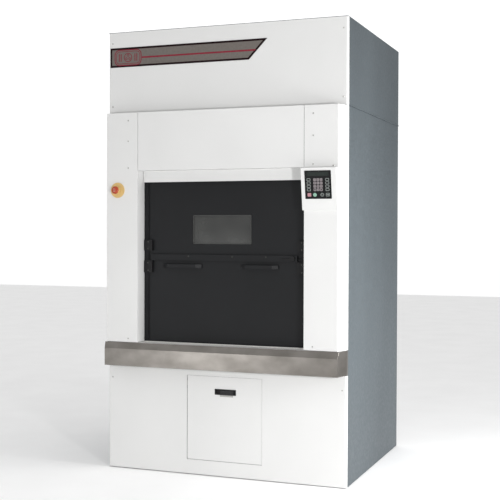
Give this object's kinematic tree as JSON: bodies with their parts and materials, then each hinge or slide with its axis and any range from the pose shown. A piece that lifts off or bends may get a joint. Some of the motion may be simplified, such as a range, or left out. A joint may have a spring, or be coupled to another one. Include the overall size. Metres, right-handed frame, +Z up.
{
  "type": "industrial tumble dryer",
  "caption": "Tall floor-standing laundry dryer: white front, black sliding doors that part up and down, steel loading ledge, keypad console, emergency stop and lint door.",
  "frame": {"origin": "on the floor, in the middle of the machine's overall box", "axes": "+X to the right of a person facing the front, +Y from front to back, +Z up"},
  "size_m": [1.428, 1.3757, 2.5],
  "materials": {
    "white_powder_coat": "smooth semi-gloss powder coat",
    "galvanised_sheet": "bright galvanised sheet, faint spangle",
    "stainless_sheet": "brushed, grain along the ledge",
    "black_powder_coat": "fine-textured black powder coat",
    "window_glass": "toughened, grey",
    "black_plastic": "moulded, matt",
    "keypad_film": "printed polyester film",
    "key_print": "raised domes in the film",
    "yellow_plastic": "moulded yellow",
    "red_plastic": "moulded red",
    "badge_film": "printed vinyl film",
    "zinc_steel": "bright zinc plate",
    "frame_steel": "grey primer",
    "drum_steel": "perforated stainless sheet",
    "cast_iron": "as cast, oiled",
    "motor_enamel": "grey-blue machine enamel",
    "belt_rubber": "matt",
    "seal_felt": "pressed wool felt",
    "cast_aluminium": "as cast",
    "gas_brass": "turned"
  },
  "bodies": {
    "cabinet": {"base_frame": "frame_steel", "left_side_panel": "galvanised_sheet", "right_side_panel": "galvanised_sheet", "rear_panel": "galvanised_sheet", "lower_front_panel": "white_powder_coat", "upper_front_panel": "white_powder_coat", "upper_cabinet_shell": "galvanised_sheet", "top_panel": "galvanised_sheet", "left_post_cover": "white_powder_coat", "right_post_cover": "white_powder_coat", "header_cover": "white_powder_coat", "loading_ledge": "stainless_sheet", "left_guide_rail": "black_powder_coat", "right_guide_rail": "black_powder_coat", "badge_strip": "badge_film", "console_housing": "white_powder_coat", "keypad_overlay": "keypad_film", "keypad_keys": "key_print", "estop_plate": "yellow_plastic", "panel_screws": "zinc_steel", "front_bulkhead": "frame_steel", "drum_mouth_seal": "seal_felt", "drum_housing": "galvanised_sheet", "rear_bulkhead": "frame_steel", "drum_bearing_housing": "cast_iron", "drive_gearmotor": "motor_enamel", "drum_belt": "belt_rubber", "fan_housing": "galvanised_sheet", "fan_motor": "motor_enamel", "exhaust_collar": "galvanised_sheet", "lint_screen": "drum_steel", "heater_box": "galvanised_sheet", "burner_tubes": "drum_steel", "gas_train": "gas_brass", "door_chains": "zinc_steel"},
    "drum": {"drum_shell": "drum_steel", "drum_lifters": "drum_steel", "drum_back_plate": "frame_steel", "drum_shaft": "zinc_steel", "drum_sheave": "cast_iron"},
    "gearmotor_output": {"motor_pulley": "cast_iron"},
    "exhaust_fan": {"fan_wheel": "cast_aluminium"},
    "upper_door": {"upper_door_panel": "black_powder_coat", "upper_door_window": "window_glass", "upper_door_shoes": "black_plastic", "meeting_rail": "black_powder_coat"},
    "latch": {"door_latch": "black_plastic"},
    "lower_door": {"lower_door_panel": "black_powder_coat", "lower_door_shoes": "black_plastic", "lower_door_handles": "black_powder_coat"},
    "left_upper_wheel": {"left_upper_sprocket": "zinc_steel"},
    "left_lower_wheel": {"left_lower_sprocket": "zinc_steel"},
    "right_upper_wheel": {"right_upper_sprocket": "zinc_steel"},
    "right_lower_wheel": {"right_lower_sprocket": "zinc_steel"},
    "lint_door": {"lint_door_panel": "white_powder_coat", "lint_latch_cup": "black_plastic"},
    "lint_latch": {"lint_latch_paddle": "zinc_steel"},
    "stop_stem": {"estop_stem": "zinc_steel"},
    "stop_button": {"estop_head": "red_plastic"}
  },
  "joints": [
    {"name": "drum_spin", "type": "hinge", "parent": "cabinet", "child": "drum", "pos_m": [0, -0.011, 1.187], "axis": [0, 1, 0], "continuous": true},
    {"name": "gearmotor_spin", "type": "hinge", "parent": "cabinet", "child": "gearmotor_output", "pos_m": [-0.42, 0.587, 0.7], "axis": [0, 1, 0], "continuous": true},
    {"name": "fan_spin", "type": "hinge", "parent": "cabinet", "child": "exhaust_fan", "pos_m": [0.2, 0.306, 0.3], "axis": [0, 1, 0], "continuous": true},
    {"name": "upper_door_slide", "type": "slide", "parent": "cabinet", "child": "upper_door", "axis": [0, 0, 1], "range_m": [0, 0.39]},
    {"name": "lower_door_slide", "type": "slide", "parent": "cabinet", "child": "lower_door", "axis": [0, 0, 1], "range_m": [-0.39, 0]},
    {"name": "door_latch_slide", "type": "slide", "parent": "upper_door", "child": "latch", "axis": [-1, 0, 0], "range_m": [0, 0.02]},
    {"name": "lint_door_hinge", "type": "hinge", "parent": "cabinet", "child": "lint_door", "pos_m": [0.0095, -0.546, 0.091], "axis": [1, 0, 0], "range_deg": [0, 95]},
    {"name": "lint_latch_pull", "type": "hinge", "parent": "lint_door", "child": "lint_latch", "pos_m": [0.025, -0.548, 0.48], "axis": [-1, 0, 0], "range_deg": [0, 25], "stiffness_Nm_per_rad": 0.5},
    {"name": "estop_push", "type": "slide", "parent": "cabinet", "child": "stop_stem", "axis": [0, 1, 0], "range_m": [0, 0.005]},
    {"name": "estop_twist", "type": "hinge", "parent": "stop_stem", "child": "stop_button", "pos_m": [-0.611, -0.661, 1.594], "axis": [0, 1, 0], "range_deg": [0, 45], "stiffness_Nm_per_rad": 0.05},
    {"name": "left_upper_wheel_spin", "type": "hinge", "parent": "cabinet", "child": "left_upper_wheel", "pos_m": [-0.54, -0.496, 1.82], "axis": [0, 1, 0], "range_deg": [-638.9, 0]},
    {"name": "left_lower_wheel_spin", "type": "hinge", "parent": "cabinet", "child": "left_lower_wheel", "pos_m": [-0.54, -0.496, 0.64], "axis": [0, 1, 0], "range_deg": [-638.9, 0]},
    {"name": "right_upper_wheel_spin", "type": "hinge", "parent": "cabinet", "child": "right_upper_wheel", "pos_m": [0.54, -0.496, 1.82], "axis": [0, 1, 0], "range_deg": [0, 638.9]},
    {"name": "right_lower_wheel_spin", "type": "hinge", "parent": "cabinet", "child": "right_lower_wheel", "pos_m": [0.54, -0.496, 0.64], "axis": [0, 1, 0], "range_deg": [0, 638.9]}
  ],
  "couplings": [
    {"joint": "gearmotor_spin", "follows": "drum_spin", "ratio": 8.2559},
    {"joint": "lower_door_slide", "follows": "upper_door_slide", "ratio": -1},
    {"joint": "left_upper_wheel_spin", "follows": "upper_door_slide", "rad_per_m": -28.571},
    {"joint": "left_lower_wheel_spin", "follows": "upper_door_slide", "rad_per_m": -28.571},
    {"joint": "right_upper_wheel_spin", "follows": "upper_door_slide", "rad_per_m": 28.571},
    {"joint": "right_lower_wheel_spin", "follows": "upper_door_slide", "rad_per_m": 28.571}
  ]
}
